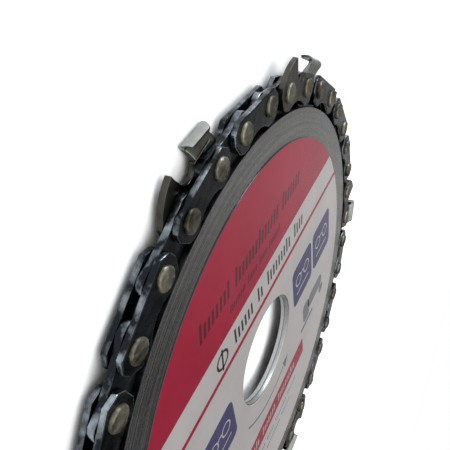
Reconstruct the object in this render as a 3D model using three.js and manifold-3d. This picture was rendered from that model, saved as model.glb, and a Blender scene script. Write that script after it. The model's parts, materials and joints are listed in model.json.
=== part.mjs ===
// Carving disc for an angle grinder: a loop of saw chain held captive round the rim of two thin
// steel plates. Millimetres. The disc lies flat: +Z is its axis, its labelled front faces up, and
// it rests on its rear cutters at z = 0.
import * as THREE from 'three';
import { mergeVertices } from 'three/addons/utils/BufferGeometryUtils.js';
import Module from 'manifold-3d';

const wasm = await Module();
wasm.setup();

// --- driving dimensions -------------------------------------------------------------------------
const BORE_RADIUS = 11.115;            // a 22.23 mm grinder arbor hole
const PLATE_RADIUS = 49.1;
const PLATE_THICKNESS = 0.85;
const PLATE_SEAM = 0.05;               // where the two plates meet round the bore
const GROOVE_WIDTH = 1.2;              // between the plates at the rim, for the drive links
const DISH_RADIUS = 40.0;              // the rear plate is stepped back outside this
const DISH_STEP_WIDTH = 1.8;
const RIM_CHAMFER = 0.2;
const LABEL_RADIUS = 43.5;
const LABEL_HOLE_RADIUS = 11.35;
const LABEL_THICKNESS = 0.15;
const LABEL_GAP = 0.02;

const PAIR_COUNT = 20;                 // pairs of side straps, with as many drive links
const PITCH_RADIUS = 52.6;             // circle through the rivet centres
const STRAP_SPACING = 8.72;            // rivet to rivet along a side strap
const CHAIN_PHASE = THREE.MathUtils.degToRad(102.8);
const DRIVE_THICKNESS = 1.1;
const STRAP_INNER_FACE = 0.6;          // from the middle plane of the chain
const STRAP_THICKNESS = 1.0;
const RIVET_HEAD_RADIUS = 1.75;
const RIVET_HEAD_HEIGHT = 0.75;
const RIVET_SHANK_RADIUS = 1.35;
const RIVET_HUB_RADIUS = 1.7;          // the thick middle that the drive links turn on
const RIVET_HUB_HALF_LENGTH = 0.55;
const PIVOT_CLEARANCE = 0.15;
const CUTTER_CLEARANCE = 0.08;

// The cutters: the pair of each, counted the way the chain runs, and its side, 1 for the front.
// Every other pair has one, on alternate sides, but for the plain pair where the loop is joined.
const CUTTER_SIDES = new Map([
  [0, -1], [4, -1], [6, 1], [8, -1], [10, 1], [12, -1], [14, 1], [16, -1], [18, 1],
]);

const ROUND_SEGMENTS = 60;
const RIVET_SEGMENTS = 8;
const CURVE_SEGMENTS = 3;

// --- worked out from those ----------------------------------------------------------------------
const PAIR_ANGLE = 2 * Math.PI / PAIR_COUNT;
const STRAP_ANGLE = 2 * Math.asin(STRAP_SPACING / 2 / PITCH_RADIUS);
const DRIVE_ANGLE = PAIR_ANGLE - STRAP_ANGLE;
const DRIVE_SPACING = 2 * PITCH_RADIUS * Math.sin(DRIVE_ANGLE / 2);
const STRAP_CHORD_RADIUS = PITCH_RADIUS * Math.cos(STRAP_ANGLE / 2);
const DRIVE_CHORD_RADIUS = PITCH_RADIUS * Math.cos(DRIVE_ANGLE / 2);
const STRAP_OUTER_FACE = STRAP_INNER_FACE + STRAP_THICKNESS;
const RIVET_HALF_LENGTH = STRAP_OUTER_FACE + RIVET_HEAD_HEIGHT;
const FRONT_FACE = GROOVE_WIDTH / 2 + PLATE_THICKNESS;

// --- materials ----------------------------------------------------------------------------------
const steel = new THREE.MeshStandardMaterial({ color: 0x8d8f90, roughness: 0.38, metalness: 1 });
const paper = new THREE.MeshStandardMaterial({ color: 0xc63a4c, roughness: 0.3, metalness: 0 });
const blackSteel = new THREE.MeshStandardMaterial({ color: 0x2a2d31, roughness: 0.4, metalness: 1 });
const driveSteel = new THREE.MeshStandardMaterial({ color: 0x35373a, roughness: 0.45, metalness: 1 });
const cutterSteel = new THREE.MeshStandardMaterial({ color: 0x6f7266, roughness: 0.32, metalness: 1 });

// --- solids -------------------------------------------------------------------------------------
function toSolid(geometry) {
  const bare = geometry.clone();
  bare.deleteAttribute('normal');
  bare.deleteAttribute('uv');
  const merged = mergeVertices(bare, 1e-4);
  return new wasm.Manifold(new wasm.Mesh({
    numProp: 3,
    vertProperties: new Float32Array(merged.attributes.position.array),
    triVerts: new Uint32Array(merged.index.array),
  }));
}

function toGeometry(solid) {
  const mesh = solid.getMesh();
  const geometry = new THREE.BufferGeometry();
  geometry.setAttribute('position', new THREE.BufferAttribute(new Float32Array(mesh.vertProperties), 3));
  geometry.setIndex(new THREE.BufferAttribute(new Uint32Array(mesh.triVerts), 1));
  geometry.computeVertexNormals();
  return geometry;
}

// A flat blank: an outline in the plane of the chain, from one height to another.
function blank(outline, bottom, top) {
  const geometry = new THREE.ExtrudeGeometry(outline, {
    depth: top - bottom, bevelEnabled: false, curveSegments: CURVE_SEGMENTS,
  });
  geometry.translate(0, 0, bottom);
  return geometry;
}

// A turned piece, its profile given as [radius, height] points that run up the outside.
function turned(profile, segments) {
  const points = profile.map(([radius, height]) => new THREE.Vector2(radius, height));
  const geometry = new THREE.LatheGeometry(points, segments);
  geometry.rotateX(Math.PI / 2);
  return geometry;
}

function roundHole(x, y, radius) {
  const hole = new THREE.Path();
  for (let step = 0; step < RIVET_SEGMENTS; step += 1) {
    const angle = 2 * Math.PI * step / RIVET_SEGMENTS;
    const point = [x + radius * Math.cos(angle), y + radius * Math.sin(angle)];
    if (step === 0) {
      hole.moveTo(...point);
    } else {
      hole.lineTo(...point);
    }
  }
  hole.closePath();
  return hole;
}

// --- plates and label ---------------------------------------------------------------------------
function frontPlate() {
  const back = FRONT_FACE - PLATE_THICKNESS;
  return turned([
    [BORE_RADIUS, back],
    [PLATE_RADIUS, back],
    [PLATE_RADIUS, FRONT_FACE - RIM_CHAMFER],
    [PLATE_RADIUS - RIM_CHAMFER, FRONT_FACE],
    [BORE_RADIUS, FRONT_FACE],
    [BORE_RADIUS, back],
  ], ROUND_SEGMENTS);
}

// Flat against the front plate round the bore, then stepped back to open the groove.
function rearPlate() {
  const seat = FRONT_FACE - PLATE_THICKNESS - PLATE_SEAM;
  const back = seat - PLATE_THICKNESS;
  const rimFront = -GROOVE_WIDTH / 2;
  const rimBack = rimFront - PLATE_THICKNESS;
  const stepEnd = DISH_RADIUS + DISH_STEP_WIDTH;
  return turned([
    [BORE_RADIUS, back],
    [DISH_RADIUS - PLATE_THICKNESS / 2, back],
    [stepEnd - PLATE_THICKNESS / 2, rimBack],
    [PLATE_RADIUS - RIM_CHAMFER, rimBack],
    [PLATE_RADIUS, rimBack + RIM_CHAMFER],
    [PLATE_RADIUS, rimFront],
    [stepEnd, rimFront],
    [DISH_RADIUS, seat],
    [BORE_RADIUS, seat],
    [BORE_RADIUS, back],
  ], ROUND_SEGMENTS);
}

function label() {
  const bottom = FRONT_FACE + LABEL_GAP;
  const top = bottom + LABEL_THICKNESS;
  return turned([
    [LABEL_HOLE_RADIUS, bottom],
    [LABEL_RADIUS, bottom],
    [LABEL_RADIUS, top],
    [LABEL_HOLE_RADIUS, top],
    [LABEL_HOLE_RADIUS, bottom],
  ], ROUND_SEGMENTS);
}

// --- chain --------------------------------------------------------------------------------------
// Each link is drawn with y pointing away from the disc's axis and -x the way the chain runs.
const STRAP_END = STRAP_SPACING / 2 + 3.1;
const STRAP_TOP = 2.5;
const STRAP_FOOT = -3.1;
const STRAP_WAIST = -1.8;

// The two feet of a strap and the arch between them, drawn from the leading end to the other one.
function drawFeet(outline) {
  outline.lineTo(-STRAP_END, -0.6);
  outline.lineTo(-STRAP_END + 1.3, STRAP_FOOT + 0.4);
  outline.lineTo(-STRAP_END + 2.4, STRAP_FOOT);
  outline.lineTo(-STRAP_END + 3.9, STRAP_FOOT);
  outline.quadraticCurveTo(0, 2 * STRAP_WAIST - STRAP_FOOT, STRAP_END - 3.9, STRAP_FOOT);
  outline.lineTo(STRAP_END - 2.4, STRAP_FOOT);
  outline.lineTo(STRAP_END - 1.3, STRAP_FOOT + 0.4);
  outline.lineTo(STRAP_END, -0.6);
}

function strapOutline() {
  const outline = new THREE.Shape();
  outline.moveTo(-STRAP_END + 1.5, STRAP_TOP);
  outline.lineTo(-STRAP_END, 1.0);
  drawFeet(outline);
  outline.lineTo(STRAP_END, 1.0);
  outline.lineTo(STRAP_END - 1.5, STRAP_TOP);
  outline.closePath();
  return outline;
}

// A layer on one side of the chain, between two distances from its middle plane.
function sideLayer(outline, side, near, far) {
  return side > 0 ? blank(outline, near, far) : blank(outline, -far, -near);
}

function strap(side) {
  return toSolid(sideLayer(strapOutline(), side, STRAP_INNER_FACE, STRAP_OUTER_FACE));
}

function rivet(x) {
  const profile = [
    [0, -RIVET_HALF_LENGTH],
    [RIVET_HEAD_RADIUS, -RIVET_HALF_LENGTH],
    [RIVET_HEAD_RADIUS, -STRAP_OUTER_FACE - CUTTER_CLEARANCE],
    [RIVET_SHANK_RADIUS, -STRAP_OUTER_FACE - CUTTER_CLEARANCE],
    [RIVET_SHANK_RADIUS, -RIVET_HUB_HALF_LENGTH],
    [RIVET_HUB_RADIUS, -RIVET_HUB_HALF_LENGTH],
  ];
  const mirrored = profile.map(([radius, height]) => [radius, -height]).reverse();
  const geometry = turned([...profile, ...mirrored], RIVET_SEGMENTS);
  geometry.translate(x, 0, 0);
  return toSolid(geometry);
}

// Both rivets of a pair, set in the strap on the given side.
function presetStrap(side) {
  return strap(side).add(rivet(-STRAP_SPACING / 2)).add(rivet(STRAP_SPACING / 2));
}

// A plain pair: two straps with the rivets headed over on both.
function tieLink() {
  return toGeometry(presetStrap(-1).add(strap(1)));
}

function driveLink() {
  const half = DRIVE_SPACING / 2;
  const outline = new THREE.Shape();
  outline.moveTo(-half - 1.4, 2.4);
  outline.quadraticCurveTo(-half - 3.5, 1.9, -half - 3.5, 0);
  outline.quadraticCurveTo(-half - 3.4, -2.4, -half - 1.6, -3.0);
  outline.lineTo(-half + 0.5, -3.9);
  outline.lineTo(-2.3, -6.4);
  outline.quadraticCurveTo(-1.9, -8.1, 0, -8.1);
  outline.quadraticCurveTo(1.5, -8.1, 1.9, -6.6);
  outline.quadraticCurveTo(2.6, -4.2, half + 1.6, -3.0);
  outline.quadraticCurveTo(half + 3.4, -2.4, half + 3.5, 0);
  outline.quadraticCurveTo(half + 3.5, 1.9, half + 1.4, 2.4);
  outline.quadraticCurveTo(0, 1.2, -half - 1.4, 2.4);
  const holeRadius = RIVET_HUB_RADIUS + PIVOT_CLEARANCE;
  outline.holes.push(roundHole(-half, 0, holeRadius), roundHole(half, 0, holeRadius));
  return blank(outline, -DRIVE_THICKNESS / 2, DRIVE_THICKNESS / 2);
}

// The side plate of a cutter: a strap's feet, a fin ahead that sets the depth of cut, a round
// gullet, and the stem that the cutting top grows from.
const FIN_TIP = new THREE.Vector2(-2.2, 5.6);
const STEM_FRONT = 2.3;
const GULLET_BOTTOM = new THREE.Vector2(0.6, 1.4);

function cutterOutline() {
  const outline = new THREE.Shape();
  outline.moveTo(FIN_TIP.x, FIN_TIP.y);
  outline.quadraticCurveTo(-4.9, 4.7, -STRAP_END + 0.9, 2.3);
  outline.lineTo(-STRAP_END, 1.0);
  drawFeet(outline);
  outline.lineTo(STRAP_END, 1.0);
  outline.lineTo(STRAP_END - 0.6, STRAP_TOP);
  outline.lineTo(STEM_FRONT, STRAP_TOP + 0.3);
  outline.quadraticCurveTo(2.0, GULLET_BOTTOM.y, GULLET_BOTTOM.x, GULLET_BOTTOM.y);
  outline.quadraticCurveTo(-0.9, GULLET_BOTTOM.y, -1.5, 3.4);
  outline.quadraticCurveTo(-2.0, 4.6, FIN_TIP.x, FIN_TIP.y);
  const holeRadius = RIVET_SHANK_RADIUS + CUTTER_CLEARANCE;
  outline.holes.push(
    roundHole(-STRAP_SPACING / 2, 0, holeRadius),
    roundHole(STRAP_SPACING / 2, 0, holeRadius),
  );
  return outline;
}

const TOP_LENGTH = 5.7;                // along the chain
const TOP_HEIGHT = 5.8;                // of its cutting corner, above the line of rivets
const TOP_RELIEF = 0.2;                // how fast it falls away behind the cutting edge
const TOP_THICKNESS = 0.95;
const TOP_OUTER_EDGE = 2.45;           // from the middle plane: it flares past the strap
const TOP_INNER_EDGE = 0.2;            // and reaches nearly to the middle
const EDGE_ANGLE = THREE.MathUtils.degToRad(10);

// The cutting top: the stem leans outwards and bends over into the top plate.
function cuttingTop(side) {
  const section = [
    [STRAP_INNER_FACE, STRAP_TOP - 0.4],
    [STRAP_OUTER_FACE, STRAP_TOP - 0.4],
    [STRAP_OUTER_FACE, STRAP_TOP + 0.8],
    [TOP_OUTER_EDGE, TOP_HEIGHT - 1.6],
    [TOP_OUTER_EDGE, TOP_HEIGHT - 0.8],
    [TOP_OUTER_EDGE - 0.7, TOP_HEIGHT],
    [TOP_INNER_EDGE, TOP_HEIGHT],
    [TOP_INNER_EDGE, TOP_HEIGHT - TOP_THICKNESS + 0.3],
    [TOP_OUTER_EDGE - 1.2, TOP_HEIGHT - TOP_THICKNESS],
    [TOP_OUTER_EDGE - 1.0, TOP_HEIGHT - 1.6],
  ];
  const shape = new THREE.Shape(section.map(([across, up]) => new THREE.Vector2(-side * across, up)));
  const geometry = new THREE.ExtrudeGeometry(shape, { depth: TOP_LENGTH, bevelEnabled: false });
  geometry.rotateY(Math.PI / 2);
  const position = geometry.attributes.position;
  for (let index = 0; index < position.count; index += 1) {
    position.setY(index, position.getY(index) - TOP_RELIEF * position.getX(index));
  }
  geometry.translate(STEM_FRONT, 0, 0);
  return toSolid(geometry);
}

// What the file takes off the front of the cutting top, to leave its edge at an angle.
function fileCut(side) {
  const size = 8;
  const geometry = new THREE.BoxGeometry(size, size, size);
  geometry.translate(-size / 2, STRAP_TOP + 1 + size / 2, 0);
  geometry.rotateY(-side * EDGE_ANGLE);
  geometry.translate(STEM_FRONT, 0, side * TOP_OUTER_EDGE);
  return toSolid(geometry);
}

function cutter(side) {
  const plate = toSolid(sideLayer(cutterOutline(), side, STRAP_INNER_FACE, STRAP_OUTER_FACE));
  return toGeometry(plate.add(cuttingTop(side).subtract(fileCut(side))));
}

// --- assembly -----------------------------------------------------------------------------------
const disc = new THREE.Group();
disc.position.z = TOP_OUTER_EDGE;

function addPiece(parent, name, geometry, material) {
  const mesh = new THREE.Mesh(geometry, material);
  mesh.name = name;
  parent.add(mesh);
}

addPiece(disc, 'front_plate', frontPlate(), steel);
addPiece(disc, 'rear_plate', rearPlate(), steel);
addPiece(disc, 'label', label(), paper);

// A place on the chain at an angle round the disc, at the middle of a link.
function chainPlace(angle, chordRadius) {
  const turn = new THREE.Group();
  turn.rotation.z = angle - Math.PI / 2;
  const place = new THREE.Group();
  place.position.y = chordRadius;
  turn.add(place);
  disc.add(turn);
  return place;
}

const plainPair = tieLink();
const drive = driveLink();
for (let pair = 0; pair < PAIR_COUNT; pair += 1) {
  const number = String(pair + 1).padStart(2, '0');
  const angle = CHAIN_PHASE + pair * PAIR_ANGLE;
  const sidePlace = chainPlace(angle, STRAP_CHORD_RADIUS);
  if (CUTTER_SIDES.has(pair)) {
    const side = CUTTER_SIDES.get(pair);
    addPiece(sidePlace, `cutter_${number}`, cutter(side), cutterSteel);
    addPiece(sidePlace, `preset_strap_${number}`, toGeometry(presetStrap(-side)), blackSteel);
  } else {
    addPiece(sidePlace, `tie_link_${number}`, plainPair, blackSteel);
  }
  const drivePlace = chainPlace(angle + PAIR_ANGLE / 2, DRIVE_CHORD_RADIUS);
  addPiece(drivePlace, `drive_link_${number}`, drive, driveSteel);
}

export default disc;
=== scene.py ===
"""Looks of the angle grinder carving disc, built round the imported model.

Shapes are drawn in millimetres, and joined() turns them into metres.
"""

import json
import math
import random

import bmesh
import bpy
from mathutils import Matrix, Vector


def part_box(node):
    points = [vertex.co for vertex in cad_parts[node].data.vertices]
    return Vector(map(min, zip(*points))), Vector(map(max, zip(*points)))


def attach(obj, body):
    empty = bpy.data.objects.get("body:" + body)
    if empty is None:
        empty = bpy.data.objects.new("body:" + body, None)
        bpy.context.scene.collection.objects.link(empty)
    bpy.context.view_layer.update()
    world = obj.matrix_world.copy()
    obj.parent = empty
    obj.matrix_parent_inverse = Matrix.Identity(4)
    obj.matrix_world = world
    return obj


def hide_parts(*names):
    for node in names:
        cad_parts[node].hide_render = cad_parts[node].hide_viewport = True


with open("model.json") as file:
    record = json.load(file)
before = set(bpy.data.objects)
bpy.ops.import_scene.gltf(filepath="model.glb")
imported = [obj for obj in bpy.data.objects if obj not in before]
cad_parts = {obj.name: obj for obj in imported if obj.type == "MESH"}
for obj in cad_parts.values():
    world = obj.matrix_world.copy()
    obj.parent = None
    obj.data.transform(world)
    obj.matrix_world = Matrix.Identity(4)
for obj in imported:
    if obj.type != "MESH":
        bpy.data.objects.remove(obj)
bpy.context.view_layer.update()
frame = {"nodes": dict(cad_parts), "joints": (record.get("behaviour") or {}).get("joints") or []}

MM = 0.001
dice = random.Random(7)

# --- dimensions, in mm: those of the CAD model, and the bevels that it leaves out ----------------
PAIR_COUNT = 20
PAIR_ANGLE = 2 * math.pi / PAIR_COUNT
PITCH_RADIUS = 52.6
STRAP_SPACING = 8.72
CHAIN_PHASE = math.radians(102.8)
STRAP_ANGLE = 2 * math.asin(STRAP_SPACING / 2 / PITCH_RADIUS)
DRIVE_ANGLE = PAIR_ANGLE - STRAP_ANGLE
DRIVE_SPACING = 2 * PITCH_RADIUS * math.sin(DRIVE_ANGLE / 2)
STRAP_CHORD_RADIUS = PITCH_RADIUS * math.cos(STRAP_ANGLE / 2)
DRIVE_CHORD_RADIUS = PITCH_RADIUS * math.cos(DRIVE_ANGLE / 2)
MIDDLE_HEIGHT = frame["joints"][0]["pos_m"][2] / MM

BORE_RADIUS = 11.115
PLATE_RADIUS = 49.1
LABEL_RADIUS = 43.5
LABEL_HOLE_RADIUS = 11.35
STRAP_INNER = 0.6
STRAP_OUTER = 1.6
STRAP_END = STRAP_SPACING / 2 + 3.1
STRAP_TOP = 2.5
STRAP_FOOT = -3.1
RIVET_RADIUS = 1.75
RIVET_END = 2.35
DRIVE_HALF = 0.55
TOP_OUTER = 2.45
TOP_INNER = 0.2
TOP_HEIGHT = 5.8
TOP_LENGTH = 5.7
TOP_RELIEF = 0.2
STEM_FRONT = 2.3
EDGE_SLOPE = math.tan(math.radians(10))
STRAP_BEVEL = 0.26
LINK_BEVEL = 0.13
TOP_BEVEL = 0.07

PLATE_THICKNESS = 0.85
PLATE_CHAMFER = 0.08
DISH_RADIUS = 40.0
DISH_WIDTH = 1.8
RING_SEGMENTS = 288


# --- node materials ------------------------------------------------------------------------------
class Nodes:
    """A material's node tree, with short ways to add to it."""

    def __init__(self, name):
        self.material = bpy.data.materials.new(name)
        self.material.use_nodes = True
        self.tree = self.material.node_tree
        self.shader = self.tree.nodes["Principled BSDF"]
        self.place = self.tree.nodes.new("ShaderNodeTexCoord").outputs["Object"]

    def node(self, kind, **inputs):
        """A shader node, fed by socket name with _ for a space."""
        made = self.tree.nodes.new("ShaderNode" + kind)
        for name, value in inputs.items():
            self.feed(made.inputs[name.replace("_", " ")], value)
        return made

    def feed(self, socket, value):
        """Link a socket to another one, or give it a plain value."""
        if isinstance(value, bpy.types.NodeSocket):
            self.tree.links.new(value, socket)
        else:
            socket.default_value = value

    def math(self, operation, first, second=0.0):
        made = self.tree.nodes.new("ShaderNodeMath")
        made.operation = operation
        self.feed(made.inputs[0], first)
        self.feed(made.inputs[1], second)
        return made.outputs[0]

    def ramp(self, value, low, high, first, last):
        """A number or colour that runs from first to last as value goes from low to high."""
        made = self.tree.nodes.new("ShaderNodeMapRange")
        self.feed(made.inputs["Value"], value)
        made.inputs["From Min"].default_value = low
        made.inputs["From Max"].default_value = high
        if isinstance(first, tuple):
            mix = self.tree.nodes.new("ShaderNodeMix")
            mix.data_type = "RGBA"
            self.feed(mix.inputs["Factor"], made.outputs["Result"])
            mix.inputs["A"].default_value = (*first, 1)
            mix.inputs["B"].default_value = (*last, 1)
            return mix.outputs["Result"]
        made.inputs["To Min"].default_value = first
        made.inputs["To Max"].default_value = last
        return made.outputs["Result"]

    def noise(self, scale, detail=3.0, place=None, roughness=0.5):
        made = self.node("TexNoise", Scale=scale, Detail=detail, Roughness=roughness)
        self.feed(made.inputs["Vector"], place or self.moved)
        return made.outputs["Fac"]

    @property
    def moved(self):
        """Object coordinates, shifted by a random amount on each object."""
        chance = self.tree.nodes.new("ShaderNodeObjectInfo").outputs["Random"]
        shift = self.tree.nodes.new("ShaderNodeVectorMath")
        shift.operation = "ADD"
        self.feed(shift.inputs[0], self.place)
        self.feed(shift.inputs[1], chance)
        return shift.outputs[0]

    def bump(self, height, distance):
        """Relief of the surface, so many metres deep."""
        made = self.node("Bump", Strength=1.0, Distance=distance, Height=height)
        self.feed(self.shader.inputs["Normal"], made.outputs["Normal"])


def steel(name, dark, light, roughness, grain=1500.0, pits=0.00002, spread=(0.35, 0.68)):
    """Steel that is mottled from dark to light, with a grain and pits that are so many metres deep."""
    nodes = Nodes(name)
    mottle = nodes.noise(260.0, 5.0, roughness=0.6)
    nodes.feed(nodes.shader.inputs["Base Color"], nodes.ramp(mottle, *spread, dark, light))
    smear = nodes.noise(420.0, 4.0)
    nodes.feed(
        nodes.shader.inputs["Roughness"],
        nodes.ramp(smear, 0.3, 0.7, roughness - 0.08, roughness + 0.14),
    )
    nodes.shader.inputs["Metallic"].default_value = 1.0
    nodes.bump(nodes.noise(grain, 3.0), pits)
    return nodes.material


def brushed_steel(name, dark, light, roughness):
    """Ground plate: fine rings round the disc's axis over a broad, faint mottle."""
    nodes = Nodes(name)
    parts = nodes.node("SeparateXYZ", Vector=nodes.place)
    across, along = parts.outputs["X"], parts.outputs["Y"]
    squares = [nodes.math("MULTIPLY", part, part) for part in (across, along)]
    radius = nodes.math("SQRT", nodes.math("ADD", *squares))
    # The noise changes quickly with the radius and slowly along a ring.
    ringed = nodes.node("CombineXYZ")
    for socket, value, scale in (("X", across, 28.0), ("Y", along, 28.0), ("Z", radius, 2600.0)):
        nodes.feed(ringed.inputs[socket], nodes.math("MULTIPLY", value, scale))
    rings = nodes.noise(1.0, 4.0, place=ringed.outputs["Vector"], roughness=0.65)
    broad = nodes.noise(34.0, 4.0, place=nodes.place)
    grain = nodes.noise(2200.0, 3.0, place=nodes.place)
    mixed = 0.0
    for part, share in ((rings, 0.25), (broad, 0.35), (grain, 0.4)):
        mixed = nodes.math("ADD", nodes.math("MULTIPLY", part, share), mixed)
    nodes.feed(nodes.shader.inputs["Base Color"], nodes.ramp(mixed, 0.36, 0.64, dark, light))
    nodes.feed(
        nodes.shader.inputs["Roughness"],
        nodes.ramp(rings, 0.3, 0.7, roughness - 0.07, roughness + 0.09),
    )
    nodes.shader.inputs["Metallic"].default_value = 1.0
    nodes.bump(nodes.math("ADD", rings, grain), 0.000008)
    return nodes.material


def print_ink(name, colour, fade):
    """Ink under a clear film: nearly even, with a faint press mottle and a fine orange peel."""
    nodes = Nodes(name)
    mottle = nodes.noise(90.0, 4.0, place=nodes.place)
    nodes.feed(nodes.shader.inputs["Base Color"], nodes.ramp(mottle, 0.3, 0.7, colour, fade))
    film = nodes.noise(700.0, 3.0, place=nodes.place)
    nodes.feed(nodes.shader.inputs["Roughness"], nodes.ramp(film, 0.3, 0.7, 0.12, 0.2))
    nodes.bump(mottle, 0.00002)
    return nodes.material


plate_steel = brushed_steel("plate_steel", (0.2, 0.19, 0.185), (0.36, 0.36, 0.355), 0.25)
bore_steel = brushed_steel("bore_steel", (0.3, 0.31, 0.31), (0.46, 0.47, 0.47), 0.42)
chain_steel = steel(
    "chain_steel", (0.006, 0.007, 0.009), (0.03, 0.034, 0.04), 0.22, grain=800.0, pits=0.00005,
)
# Lighter steel for the links' bevels and side walls: partly real bare, worn punched edges, and partly
# painted glints in its light patches.
bare_edge_and_glint = steel(
    "bare_edge_and_glint", (0.014, 0.016, 0.02), (0.3, 0.345, 0.385), 0.2,
    grain=800.0, pits=0.00006, spread=(0.44, 0.7),
)
drive_steel = steel(
    "drive_steel", (0.01, 0.011, 0.013), (0.065, 0.069, 0.075), 0.3, grain=900.0, pits=0.00004,
)
rivet_steel = steel(
    "rivet_steel", (0.025, 0.023, 0.017), (0.2, 0.186, 0.138), 0.44, grain=700.0, pits=0.00024,
)
rivet_rim = steel(
    "rivet_rim", (0.03, 0.028, 0.02), (0.24, 0.225, 0.175), 0.38, grain=700.0, pits=0.00016,
)
cutter_steel = steel("cutter_steel", (0.03, 0.028, 0.023), (0.076, 0.073, 0.061), 0.3)
top_steel = steel("top_steel", (0.2, 0.21, 0.2), (0.32, 0.33, 0.315), 0.3)
ground_steel = steel(
    "ground_steel", (0.19, 0.2, 0.19), (0.33, 0.34, 0.33), 0.24, grain=2600.0, pits=0.00001,
)
label_white = print_ink("label_white", (0.30, 0.28, 0.275), (0.335, 0.315, 0.31))
label_red = print_ink("label_red", (0.2, 0.009, 0.024), (0.23, 0.013, 0.031))
label_blue = print_ink("label_blue", (0.036, 0.034, 0.085), (0.048, 0.044, 0.1))
label_dark = print_ink("label_dark", (0.02, 0.02, 0.024), (0.032, 0.032, 0.036))
label_maroon = print_ink("label_maroon", (0.05, 0.009, 0.016), (0.07, 0.013, 0.022))
label_grey = print_ink("label_grey", (0.09, 0.094, 0.105), (0.13, 0.134, 0.145))


# --- meshes --------------------------------------------------------------------------------------
def from_faces(name, points, faces, slots):
    """A mesh whose faces each name their material slot."""
    mesh = bpy.data.meshes.new(name)
    mesh.from_pydata(points, [], faces)
    for polygon, slot in zip(mesh.polygons, slots):
        polygon.material_index = slot
    mesh.validate()
    return mesh


def blank(name, outline, bottom, top, side_slot=0):
    """A flat blank: a counter-clockwise outline from one height to another."""
    count = len(outline)
    points = [(x, y, bottom) for x, y in outline] + [(x, y, top) for x, y in outline]
    faces = [tuple(range(count - 1, -1, -1)), tuple(range(count, 2 * count))]
    faces += [(i, (i + 1) % count, count + (i + 1) % count, count + i) for i in range(count)]
    return from_faces(name, points, faces, [0, 0] + [side_slot] * count)


def turned(profile, slots):
    """A ring turned round the z axis. The profile's (radius, height) points run round its section."""
    count = len(profile)
    points, faces, face_slots = [], [], []
    for step in range(RING_SEGMENTS):
        angle = 2 * math.pi * step / RING_SEGMENTS
        points += [(r * math.cos(angle), r * math.sin(angle), z) for r, z in profile]
    for step in range(RING_SEGMENTS):
        here, after = step * count, (step + 1) % RING_SEGMENTS * count
        for i in range(count):
            j = (i + 1) % count
            faces.append((here + i, after + i, after + j, here + j))
        face_slots += slots
    return from_faces("ring", points, faces, face_slots)


def curve_through(points, steps):
    """A smooth line through points, as a Catmull-Rom curve."""
    path = []
    ends = [points[0], *points, points[-1]]
    for i in range(1, len(ends) - 2):
        a, b, c, d = (Vector(p) for p in ends[i - 1 : i + 3])
        for step in range(steps):
            t = step / steps
            slope = c - a
            square = 2 * a - 5 * b + 4 * c - d
            cube = 3 * b - a - 3 * c + d
            path.append(0.5 * (2 * b + slope * t + square * t * t + cube * t**3))
    path.append(Vector(points[-1]))
    return path


def bowed(start, control, end, steps):
    """The points of a quadratic curve after its start."""
    path = []
    for step in range(1, steps + 1):
        t = step / steps
        shares = ((1 - t) ** 2, 2 * t * (1 - t), t * t)
        path.append(tuple(
            shares[0] * start[i] + shares[1] * control[i] + shares[2] * end[i] for i in range(2)
        ))
    return path


def worked(mesh, width, segments, limit=28):
    """The mesh with its sharp edges bevelled, and the bevels in its second material slot."""
    holder = bpy.data.objects.new("holder", mesh)
    bpy.context.scene.collection.objects.link(holder)
    bevel = holder.modifiers.new("bevel", "BEVEL")
    bevel.width = width
    bevel.segments = segments
    bevel.limit_method = "ANGLE"
    bevel.angle_limit = math.radians(limit)
    bevel.material = 1
    bevel.use_clamp_overlap = True
    bevelled = holder.evaluated_get(bpy.context.evaluated_depsgraph_get())
    made = bpy.data.meshes.new_from_object(bevelled)
    bpy.data.objects.remove(holder)
    return made


def joined(name, parts):
    """One mesh from (mesh, matrix, first slot) parts, flipped right side out where mirrored."""
    whole = bmesh.new()
    for mesh, matrix, first_slot in parts:
        piece = bmesh.new()
        piece.from_mesh(mesh)
        piece.transform(matrix)
        if matrix.determinant() < 0:
            bmesh.ops.reverse_faces(piece, faces=piece.faces)
        for face in piece.faces:
            face.material_index += first_slot
            face.smooth = True
        moved = bpy.data.meshes.new("moved")
        piece.to_mesh(moved)
        whole.from_mesh(moved)
        piece.free()
        bpy.data.meshes.remove(moved)
    whole.transform(Matrix.Scale(MM, 4))
    mesh = bpy.data.meshes.new(name)
    whole.to_mesh(mesh)
    whole.free()
    mesh.set_sharp_from_angle(angle=math.radians(50))
    return mesh


def place(name, mesh, materials, body, slot, matrix=None, nodes=()):
    """Adds a piece that rides on a body and stands for CAD nodes."""
    if not mesh.materials:
        for material in materials:
            mesh.materials.append(material)
    piece = bpy.data.objects.new(name, mesh)
    bpy.context.scene.collection.objects.link(piece)
    piece.matrix_world = matrix or Matrix.Identity(4)
    weighted = piece.modifiers.new("weighted_normals", "WEIGHTED_NORMAL")
    weighted.keep_sharp = True
    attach(piece, body)
    if nodes:
        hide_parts(*nodes)


# --- chain shapes: y points away from the disc's axis, -x the way the chain runs, z to the front --
def feet():
    """A strap's outline from its leading end, under its two feet and arch, to the other end."""
    line = [(-STRAP_END, 1.0), (-STRAP_END, -0.6), (-STRAP_END + 1.3, STRAP_FOOT + 0.4)]
    line += [(-STRAP_END + 2.4, STRAP_FOOT), (-STRAP_END + 3.9, STRAP_FOOT)]
    line += bowed((-STRAP_END + 3.9, STRAP_FOOT), (0, -0.5), (STRAP_END - 3.9, STRAP_FOOT), 12)
    line += [(STRAP_END - 2.4, STRAP_FOOT), (STRAP_END - 1.3, STRAP_FOOT + 0.4)]
    return line + [(STRAP_END, -0.6), (STRAP_END, 1.0)]


def strap():
    """A plain side link with rounded edges."""
    outline = feet() + [(STRAP_END - 1.5, STRAP_TOP), (-STRAP_END + 1.5, STRAP_TOP)]
    # The side walls take the second slot, like the bevels: bare edge steel whose light patches are
    # painted glints.
    return worked(blank("strap", outline, STRAP_INNER, STRAP_OUTER, side_slot=1), STRAP_BEVEL, 2)


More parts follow.
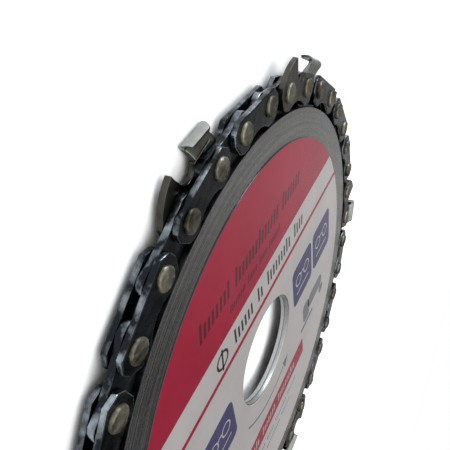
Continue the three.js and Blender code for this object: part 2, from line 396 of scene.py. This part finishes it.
def rivet_head(seed):
    """A rivet end that was spun and hammered over: a low dome with facets and a rolled rim."""
    chance = random.Random(seed)
    sides = 28
    # Each ring is a share of the radius and a share of the height, from the strap to the middle.
    rings = [(1.0, 0.0), (1.0, 0.34), (0.95, 0.56), (0.86, 0.66), (0.7, 0.6), (0.5, 0.66), (0.26, 0.62)]
    base = STRAP_OUTER - 0.1
    height = RIVET_END - STRAP_OUTER - 0.05
    full_rise = 0.82
    tilt, ripple, ripple_start, _ = [chance.uniform(-0.09, 0.09) for _ in range(4)]
    points = []
    for number, (share, rise) in enumerate(rings):
        for step in range(sides):
            angle = 2 * math.pi * step / sides
            wave = tilt * math.cos(angle) + ripple * math.sin(2 * angle + ripple_start * 30)
            dent = wave + chance.uniform(-0.06, 0.06) if number > 1 else 0
            radius = share * (RIVET_RADIUS + (chance.uniform(-0.03, 0.03) if number < 3 else 0))
            level = base + height * min(1.0, (rise + dent) / full_rise)
            points.append((radius * math.cos(angle), radius * math.sin(angle), level))
    points.append((0, 0, base + height * 0.8))
    faces, slots = [], []
    for number in range(len(rings) - 1):
        for step in range(sides):
            i, j = number * sides + step, number * sides + (step + 1) % sides
            faces.append((i, j, j + sides, i + sides))
            slots.append(1 if number in (1, 2) else 0)
    last = (len(rings) - 1) * sides
    faces += [(last + i, last + (i + 1) % sides, len(points) - 1) for i in range(sides)]
    faces.append(tuple(range(sides - 1, -1, -1)))
    return from_faces("rivet_head", points, faces, slots + [0] * (sides + 1))


def rivet_shank():
    """The plain part of a rivet, through both side links."""
    radius = 1.3
    turns = [side * math.pi / 8 for side in range(16)]
    ring = [(radius * math.cos(turn), radius * math.sin(turn)) for turn in turns]
    return blank("rivet_shank", ring, -STRAP_OUTER - 0.05, STRAP_OUTER + 0.05)


def drive_link():
    """The middle link: an eye round each rivet and a tang that points to the disc's axis."""
    half = DRIVE_SPACING / 2
    outline = [(-half - 1.4, 2.4)]
    for control, end, steps in (
        ((-half - 3.5, 1.9), (-half - 3.5, 0), 8),
        ((-half - 3.4, -2.4), (-half - 1.6, -3.0), 7),
        ((-half - 0.4, -3.3), (-half + 0.5, -3.9), 4),
        ((-2.9, -5.2), (-2.3, -6.4), 5),
        ((-1.9, -8.1), (0, -8.1), 6),
        ((1.5, -8.1), (1.9, -6.6), 6),
        ((2.6, -4.2), (half + 1.6, -3.0), 7),
        ((half + 3.4, -2.4), (half + 3.5, 0), 7),
        ((half + 3.5, 1.9), (half + 1.4, 2.4), 8),
        ((0, 1.2), (-half - 1.4, 2.4), 10),
    ):
        outline += bowed(outline[-1], control, end, steps)
    outline.pop()
    # The side walls take the second slot: bare edge steel whose light patches are painted glints.
    return worked(blank("drive_link", outline, -DRIVE_HALF, DRIVE_HALF, side_slot=1), LINK_BEVEL, 2)


def cutter_plate():
    """A cutter's side plate, with the depth fin ahead of a round gullet."""
    tip = (-2.2, 5.6)
    gullet = (0.6, 1.4)
    outline = feet() + [(STRAP_END - 0.6, STRAP_TOP), (STEM_FRONT, STRAP_TOP + 0.3)]
    outline += bowed(outline[-1], (2.0, gullet[1]), gullet, 8)
    outline += bowed(gullet, (-0.9, gullet[1]), (-1.5, 3.4), 8)
    outline += bowed(outline[-1], (-2.0, 4.6), tip, 6)
    outline += bowed(tip, (-2.45, 5.62), (-2.7, 5.46), 3)
    outline += bowed(outline[-1], (-5.0, 4.6), (-STRAP_END + 0.9, 2.3), 10)
    return worked(blank("cutter_plate", outline, STRAP_INNER, STRAP_OUTER), LINK_BEVEL, 2)


def cutting_top():
    """The stem that leans out and bends over into the top plate, ground hollow at its front."""
    outer = curve_through(
        [(STRAP_OUTER, 1.7), (STRAP_OUTER, 3.0), (2.02, 3.95), (TOP_OUTER - 0.04, 4.68),
         (TOP_OUTER - 0.08, 5.25), (2.0, 5.66), (1.35, TOP_HEIGHT), (0.75, 5.77), (TOP_INNER, 5.64)], 4)
    inner = curve_through(
        [(STRAP_INNER, 1.7), (0.72, 2.9), (1.26, 3.85), (1.66, 4.5),
         (1.68, 4.84), (1.44, 5.1), (1.0, 5.18), (0.6, 5.2), (TOP_INNER, 5.24)], 4)
    count = len(outer)
    last = count - 1
    stations, grind_rows = 10, 5
    points, faces, slots = [], [], []

    def at(z, y, x):
        points.append((x, y - TOP_RELIEF * max(0.0, x - STEM_FRONT), z))
        return len(points) - 1

    def front(index):
        """How far back the outer skin's front edge is. It is hooked along the stem."""
        share = index / last
        hook = 0.3 * math.sin(math.pi * share / 0.55) if share < 0.55 else 0.0
        return STEM_FRONT + (TOP_OUTER - outer[index][0]) * EDGE_SLOPE + hook

    def rear(index):
        """How far back the rear end is. It is rounded off towards the inner edge of the top."""
        share = max(0.0, index / last - 0.6) / 0.4
        return STEM_FRONT + TOP_LENGTH - 1.1 * share**3

    grind = []
    for number in range(grind_rows + 1):
        t = number / grind_rows
        hollow = math.sin(t * math.pi / 2) ** 1.4
        row = []
        for i in range(count):
            z, y = outer[i].lerp(inner[i], t)
            row.append(at(z, y, front(i) + (0.15 + 0.25 * i / last) * hollow))
        grind.append(row)

    def skin_sheet(skin, edge):
        """Rows of points over one skin, from its front edge to the rear end."""
        start = [points[i][0] for i in edge]
        sheet = [edge]
        for station in range(1, stations + 1):
            back = station / stations
            sheet.append([at(*skin[i], start[i] + (rear(i) - start[i]) * back) for i in range(count)])
        return sheet

    inner_sheet = skin_sheet(inner, grind[-1])
    outer_sheet = skin_sheet(outer, grind[0])

    def strips(rows, slot, flip=False):
        for first, second in zip(rows, rows[1:]):
            for i in range(last):
                face = (first[i], first[i + 1], second[i + 1], second[i])
                faces.append(face[::-1] if flip else face)
                slots.append(slot)

    strips(grind, 1)
    strips(inner_sheet, 0)
    strips(outer_sheet, 2, flip=True)
    strips([inner_sheet[-1], outer_sheet[-1]], 0)
    for index in (0, last):
        ring = [row[index] for row in grind + inner_sheet[1:] + outer_sheet[:0:-1]]
        faces.append(tuple(ring if index else reversed(ring)))
        slots.append(0)
    mesh = from_faces("cutting_top", points, faces, slots)
    return worked(mesh, TOP_BEVEL, 1, limit=50)


FRONT = Matrix.Identity(4)
REAR = Matrix.Scale(-1, 4, (0, 0, 1))
# Slot 1 is the bare edge steel, partly worn edges and partly painted glints.
CHAIN_MATERIALS = [chain_steel, bare_edge_and_glint, rivet_steel, rivet_rim]
CUTTER_MATERIALS = [cutter_steel, ground_steel, top_steel]


def rivets(seed):
    """Both rivets of a pair, with a differently hammered head at each end."""
    parts = []
    for number, x in enumerate((-STRAP_SPACING / 2, STRAP_SPACING / 2)):
        along = Matrix.Translation((x, 0, 0))
        parts.append((rivet_shank(), along, 2))
        parts.append((rivet_head(seed + number), along, 2))
        parts.append((rivet_head(seed + number + 2), along @ REAR, 2))
    return parts


def side_matrix(side):
    """Links are drawn on the front side of the chain, and mirrored for the rear side."""
    return FRONT if side > 0 else REAR


VARIANTS = 3
side_strap = strap()
side_cutter = [cutter_plate(), cutting_top()]
tie_meshes = [
    joined(f"tie_{v}", [(side_strap, FRONT, 0), (side_strap, REAR, 0)] + rivets(10 * v + 1))
    for v in range(VARIANTS)
]
preset_meshes = {
    (side, v): joined(f"preset_{side}_{v}", [(side_strap, side_matrix(side), 0)] + rivets(10 * v + 5))
    for side in (-1, 1)
    for v in range(VARIANTS)
}
cutter_meshes = {
    side: joined(f"cutter_{side}", [(part, side_matrix(side), 0) for part in side_cutter])
    for side in (-1, 1)
}
drive_mesh = joined("drive", [(drive_link(), FRONT, 0)])


def chain_place(angle, radius):
    """Where a link goes: its y axis points away from the disc's axis, at an angle round it."""
    turn = Matrix.Rotation(angle - math.pi / 2, 4, "Z")
    return turn @ Matrix.Translation((0, radius * MM, MIDDLE_HEIGHT * MM))


for pair in range(PAIR_COUNT):
    number = f"{pair + 1:02d}"
    angle = CHAIN_PHASE + pair * PAIR_ANGLE
    there = chain_place(angle, STRAP_CHORD_RADIUS)
    cutter_node = f"cutter_{number}"
    if cutter_node in frame["nodes"]:
        low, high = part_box(cutter_node)
        side = 1 if (low.z + high.z) / 2 > MIDDLE_HEIGHT * MM else -1
        place(
            f"side_cutter_{number}", cutter_meshes[side], CUTTER_MATERIALS,
            "chain", "cutter_steel", there, [cutter_node],
        )
        place(
            f"riveted_strap_{number}", preset_meshes[-side, pair % VARIANTS], CHAIN_MATERIALS,
            "chain", "strap_steel", there, [f"preset_strap_{number}"],
        )
    else:
        place(
            f"riveted_pair_{number}", tie_meshes[pair % VARIANTS], CHAIN_MATERIALS,
            "chain", "strap_steel", there, [f"tie_link_{number}"],
        )
    # The drive link's second material is the bare edge steel with painted glints.
    place(
        f"tanged_link_{number}", drive_mesh, [drive_steel, bare_edge_and_glint], "chain", "drive_steel",
        chain_place(angle + PAIR_ANGLE / 2, DRIVE_CHORD_RADIUS), [f"drive_link_{number}"],
    )


# --- plates --------------------------------------------------------------------------------------
def heights(node):
    """A CAD node's lowest and highest z, in mm."""
    low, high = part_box(node)
    return low.z / MM, high.z / MM


def disc_piece(name, profile, slots, materials, slot, node):
    """A piece of the disc that is turned from its section."""
    mesh = joined(name, [(turned(profile, slots), FRONT, 0)])
    place(name, mesh, materials, "disc", slot, nodes=[node])


low, high = heights("front_plate")
front_profile = [
    (BORE_RADIUS, low + 0.03), (BORE_RADIUS + 0.06, low),
    (PLATE_RADIUS - 0.06, low), (PLATE_RADIUS, low + 0.06),
    (PLATE_RADIUS, high - PLATE_CHAMFER), (PLATE_RADIUS - PLATE_CHAMFER, high),
    (BORE_RADIUS + 0.1, high), (BORE_RADIUS, high - 0.1),
]
# The rim wall and its two chamfers take the dark drive steel in slot 2: painted shade for the dark gap
# between the plate and the chain.
disc_piece(
    "front_disc", front_profile, [0, 0, 2, 2, 2, 0, 1, 1],
    [plate_steel, bore_steel, drive_steel], "plate_steel", "front_plate",
)

low, seat = heights("rear_plate")
dish_depth = seat - low - PLATE_THICKNESS


def dish(radius_shift, height):
    """The stepped part of the rear plate as a smooth bend."""
    bend_steps = 6
    line = []
    for i in range(bend_steps + 1):
        t = i / bend_steps
        fall = dish_depth * (3 * t * t - 2 * t**3)
        line.append((DISH_RADIUS + radius_shift + DISH_WIDTH * t, height - fall))
    return line


under = seat - PLATE_THICKNESS
rim_top = low + PLATE_THICKNESS
rear_profile = [(BORE_RADIUS, under + 0.1), (BORE_RADIUS + 0.1, under)]
rear_profile += dish(-PLATE_THICKNESS / 2, under)
rear_profile += [
    (PLATE_RADIUS - PLATE_CHAMFER, low), (PLATE_RADIUS, low + PLATE_CHAMFER),
    (PLATE_RADIUS, rim_top - 0.05), (PLATE_RADIUS - 0.05, rim_top),
]
rear_profile += reversed(dish(0, seat))
rear_profile += [(BORE_RADIUS + 0.05, seat), (BORE_RADIUS, seat - 0.04)]
rear_slots = [1] + [0] * (len(rear_profile) - 2) + [1]
disc_piece("rear_disc", rear_profile, rear_slots, [plate_steel, bore_steel], "plate_steel", "rear_plate")

# --- label ---------------------------------------------------------------------------------------
paper_low, paper_top = heights("label")
INK_DEPTH = 0.02
INK_RISE = 0.012
FILM_EDGE = 0.05
PRINT_EDGE = LABEL_RADIUS - FILM_EDGE
paper_profile = [
    (LABEL_HOLE_RADIUS, paper_low), (LABEL_RADIUS, paper_low), (LABEL_RADIUS, paper_top - FILM_EDGE),
    (PRINT_EDGE, paper_top), (LABEL_HOLE_RADIUS + FILM_EDGE, paper_top),
    (LABEL_HOLE_RADIUS, paper_top - FILM_EDGE),
]
# The label's outer wall and its chamfer take the dark ink in slot 1: a painted shade line round the
# label's edge.
disc_piece(
    "label_film", paper_profile, [0, 1, 1, 0, 0, 0], [label_white, label_dark], "label_paper", "label",
)


def arc(radius, start, end, steps, centre=(0, 0)):
    """Points on a circle, from one angle to another in radians."""
    turn = [start + (end - start) * i / steps for i in range(steps + 1)]
    return [(centre[0] + radius * math.cos(a), centre[1] + radius * math.sin(a)) for a in turn]


def band(low_edge, high_edge):
    """The label between two heights, out to its edge."""
    low_turn = math.asin(low_edge / PRINT_EDGE)
    high_turn = math.asin(min(1, high_edge / PRINT_EDGE))
    right = arc(PRINT_EDGE, low_turn, high_turn, 48)
    return right + [(-x, y) for x, y in reversed(right)]


def rounded(centre, width, height, radius):
    """A rectangle with round corners."""
    line = []
    for quarter, (sx, sy) in enumerate(((1, 1), (-1, 1), (-1, -1), (1, -1))):
        middle = (centre[0] + sx * (width / 2 - radius), centre[1] + sy * (height / 2 - radius))
        line += arc(radius, quarter * math.pi / 2, (quarter + 1) * math.pi / 2, 6, middle)
    return line


def stroke(points, width):
    """A line of even width along points."""
    left, right = [], []
    for i, point in enumerate(points):
        before = Vector(points[max(0, i - 1)])
        after = Vector(points[min(len(points) - 1, i + 1)])
        along = (after - before).normalized() * width / 2
        left.append((point[0] - along.y, point[1] + along.x))
        right.append((point[0] + along.y, point[1] - along.x))
    return right + left[::-1]


def ticks(start, words, width, height, gap, slant=0.22):
    """Plain slanted ticks in groups of so many, where a label would have a line of print."""
    marks = []
    x, y = start
    for count in words:
        for number in range(count):
            rise = height * (1.3 if number % 7 == 0 else dice.uniform(0.94, 1.04))
            lean = slant * rise
            high = y + rise
            marks.append([(x, y), (x + width, y), (x + width + lean, high), (x + lean, high)])
            x += width + gap
        x += 2 * gap + width / 2
    return marks


def printed(name, marks, material, layers=1):
    """Ink marks as very thin flat solids on the label, so many layers of ink high."""
    base, top = paper_top - INK_DEPTH, paper_top + layers * INK_RISE
    solids = [(blank("mark", outline, base, top), FRONT, 0) for outline in marks]
    place(name, joined(name, solids), [material], "disc", "label_paper")


def icon(centre):
    """A plain line picture for a square: two rings, a bridge between them and a ground line."""
    x, y = centre
    lines = [arc(1.5, 0, 2 * math.pi, 24, (x + way * 2.3, y + 0.9)) for way in (-1, 1)]
    lines.append([(x - 0.8, y + 1.4), (x, y + 1.7), (x + 0.8, y + 1.4)])
    lines.append([(x - 3.6, y - 2.8), (x + 3.6, y - 2.8)])
    return [stroke(line, 0.34) for line in lines]


SQUARE_CENTRES = ((-32.2, 0.3), (-20.8, 0.3), (19.4, 1.8), (31.6, 1.8))
red_box = rounded((-1.0, -23.2), 38, 5.6, 0.4)
printed("print_red", [band(22.3, PRINT_EDGE), band(14.4, 15.5), red_box], label_red)
printed("print_blue", [rounded(centre, 11.2, 11.6, 1.6) for centre in SQUARE_CENTRES], label_blue)

title = ticks((-20.0, 28.9), (8, 14, 7), width=0.66, height=2.9, gap=0.6)
subtitle = ticks((-11.0, 25.3), (9, 6, 5, 8), width=0.3, height=1.4, gap=0.34)
size_line = ticks((-11.0, 17.1), (6, 2, 9, 4), width=0.6, height=2.7, gap=0.68, slant=0.05)
diameter_sign = [
    stroke(arc(1.75, 0, 2 * math.pi, 32, (-15.4, 18.6)), 0.5),
    stroke([(-15.7, 16.1), (-15.1, 21.1)], 0.5),
]
printed("print_dark", size_line + diameter_sign, label_dark)
printed("print_title", title + subtitle, label_maroon, layers=2)

arrow = [
    stroke(arc(16.6, math.radians(226), math.radians(292), 40), 0.5),
    [(6.0, -14.2), (8.9, -14.2), (7.2, -17.3)],
]
# The outline of a grinder: its body, its head, the disc under the head and its grip.
grinder = [
    rounded((27.0, -12.2), 9.6, 4.2, 2.0),
    rounded((20.9, -13.0), 3.8, 6.4, 1.4),
    rounded((21.2, -17.2), 8.0, 1.2, 0.55),
    rounded((31.2, -15.8), 2.6, 3.0, 1.1),
]
small_lines = []
for start, words in (((-20.0, -30.0), (8, 12, 6, 10, 8)), ((-18.0, -33.2), (10, 6, 12, 8))):
    small_lines += ticks(start, words, width=0.26, height=1.1, gap=0.4, slant=0.0)
printed("print_grey", arrow + grinder + small_lines, label_grey)

icons = [mark for centre in SQUARE_CENTRES for mark in icon(centre)]
box_line = ticks((-17.5, -24.3), (9, 7, 10), width=0.42, height=1.9, gap=0.62)
printed("print_white", icons + box_line, label_white, layers=2)

# --- stage, light and camera ---------------------------------------------------------------------
FLOOR_REACH = 4.0
floor_corners = [(x * FLOOR_REACH, y * FLOOR_REACH, 0) for x, y in ((-1, -1), (1, -1), (1, 1), (-1, 1))]
floor_mesh = bpy.data.meshes.new("floor")
floor_mesh.from_pydata(floor_corners, [], [(0, 1, 2, 3)])
floor = bpy.data.objects.new("floor", floor_mesh)
bpy.context.scene.collection.objects.link(floor)
floor_nodes = Nodes("floor")
floor_nodes.shader.inputs["Base Color"].default_value = (0.93, 0.93, 0.93, 1)
floor_nodes.shader.inputs["Roughness"].default_value = 0.9
floor_nodes.shader.inputs["Specular IOR Level"].default_value = 0.1
floor_mesh.materials.append(floor_nodes.material)

CAMERA_AT = Vector((-0.0547, 0.0953, 0.0345))
CAMERA_FORWARD = Vector((0.648, -0.639, -0.415))
PICTURE_UP = Vector((0.611, 0.761, -0.217))
picture_right = CAMERA_FORWARD.cross(PICTURE_UP).normalized()
disc_centre = Vector((0, 0, MIDDLE_HEIGHT * MM))


def add_lamp(name, data, direction, distance):
    """Put a lamp at a distance from the disc, shining at it."""
    lamp = bpy.data.objects.new(name, data)
    lamp.location = disc_centre + direction.normalized() * distance
    lamp.rotation_mode = "QUATERNION"
    lamp.rotation_quaternion = direction.to_track_quat("Z", "Y")
    bpy.context.scene.collection.objects.link(lamp)


def softbox(name, direction, distance, size, power, colour=(1, 1, 1)):
    """A square area light that faces the disc."""
    data = bpy.data.lights.new(name, "AREA")
    data.shape = "SQUARE"
    data.size = size
    data.energy = power
    data.color = colour
    add_lamp(name, data, direction, distance)


def broad_lamp(name, direction, energy, angle):
    """Light from far away, so many degrees across that its shadows are soft."""
    data = bpy.data.lights.new(name, "SUN")
    data.energy = energy
    data.angle = math.radians(angle)
    add_lamp(name, data, direction, 1.0)


broad_lamp("daylight", Vector((-0.55, 0.62, 0.75)), energy=0.9, angle=110)
broad_lamp("skylight", Vector((-0.05, 0.05, 1.0)), energy=2.45, angle=100)
softbox("overhead", Vector((0.1, 0.05, 1.0)), distance=0.7, size=0.4, power=0.3)
behind = PICTURE_UP * 0.9 + Vector((0, 0, 0.5))
softbox("rim", behind, distance=0.5, size=0.2, power=1.6, colour=(0.86, 0.93, 1))

# Brightness of the studio by height above the horizon, as (sine of the elevation, brightness).
STUDIO = ((0.0, 1.0), (0.07, 1.0), (0.2, 0.44), (0.34, 0.36), (0.45, 0.3), (0.8, 0.2), (1.0, 0.25))
# A dark flag hangs at one side of the studio, clear of the horizon.
FLAG_TOWARDS = (0.087, -0.996, 0.0)
world = bpy.data.worlds.new("studio")
world.use_nodes = True
sky = world.node_tree
background = sky.nodes["Background"]
view = sky.nodes.new("ShaderNodeTexCoord").outputs["Generated"]
view_parts = sky.nodes.new("ShaderNodeSeparateXYZ")
sky.links.new(view, view_parts.inputs[0])
height_seen = view_parts.outputs["Z"]

ramp = sky.nodes.new("ShaderNodeValToRGB")
sky.links.new(height_seen, ramp.inputs["Fac"])
stops = ramp.color_ramp.elements
while len(stops) < len(STUDIO):
    stops.new(0.5)
# All stops are put in place before they are coloured, because they sort themselves by position.
for stop, (height, _) in zip(stops, STUDIO):
    stop.position = height
for stop, (_, brightness) in zip(stops, STUDIO):
    stop.color = (brightness, brightness, brightness, 1)
sky.links.new(ramp.outputs["Color"], background.inputs["Color"])


def faded(value, start, end, before, after):
    """A value mapped to a fade from one strength to another."""
    node = sky.nodes.new("ShaderNodeMapRange")
    sky.links.new(value, node.inputs["Value"])
    for socket, number in (("From Min", start), ("From Max", end), ("To Min", before), ("To Max", after)):
        node.inputs[socket].default_value = number
    return node.outputs["Result"]


facing = sky.nodes.new("ShaderNodeVectorMath")
facing.operation = "DOT_PRODUCT"
sky.links.new(view, facing.inputs[0])
facing.inputs[1].default_value = FLAG_TOWARDS
strength = sky.nodes.new("ShaderNodeMath")
strength.operation = "MAXIMUM"
sky.links.new(faded(facing.outputs["Value"], 0.7, 0.86, 1.0, 0.12), strength.inputs[0])
sky.links.new(faded(height_seen, 0.12, 0.3, 1.0, 0.0), strength.inputs[1])
sky.links.new(strength.outputs[0], background.inputs["Strength"])
bpy.context.scene.world = world
bpy.context.scene.view_settings.view_transform = "Standard"

camera_data = bpy.data.cameras.new("camera")
camera_data.sensor_width = 36
camera_data.lens = 43.0
camera_data.shift_y = -0.08
camera_data.clip_start = 0.005
camera = bpy.data.objects.new("camera", camera_data)
true_up = picture_right.cross(CAMERA_FORWARD).normalized()
turn = Matrix((picture_right, true_up, -CAMERA_FORWARD.normalized())).transposed()
camera.matrix_world = Matrix.Translation(CAMERA_AT) @ turn.to_4x4()
bpy.context.scene.collection.objects.link(camera)
bpy.context.scene.camera = camera
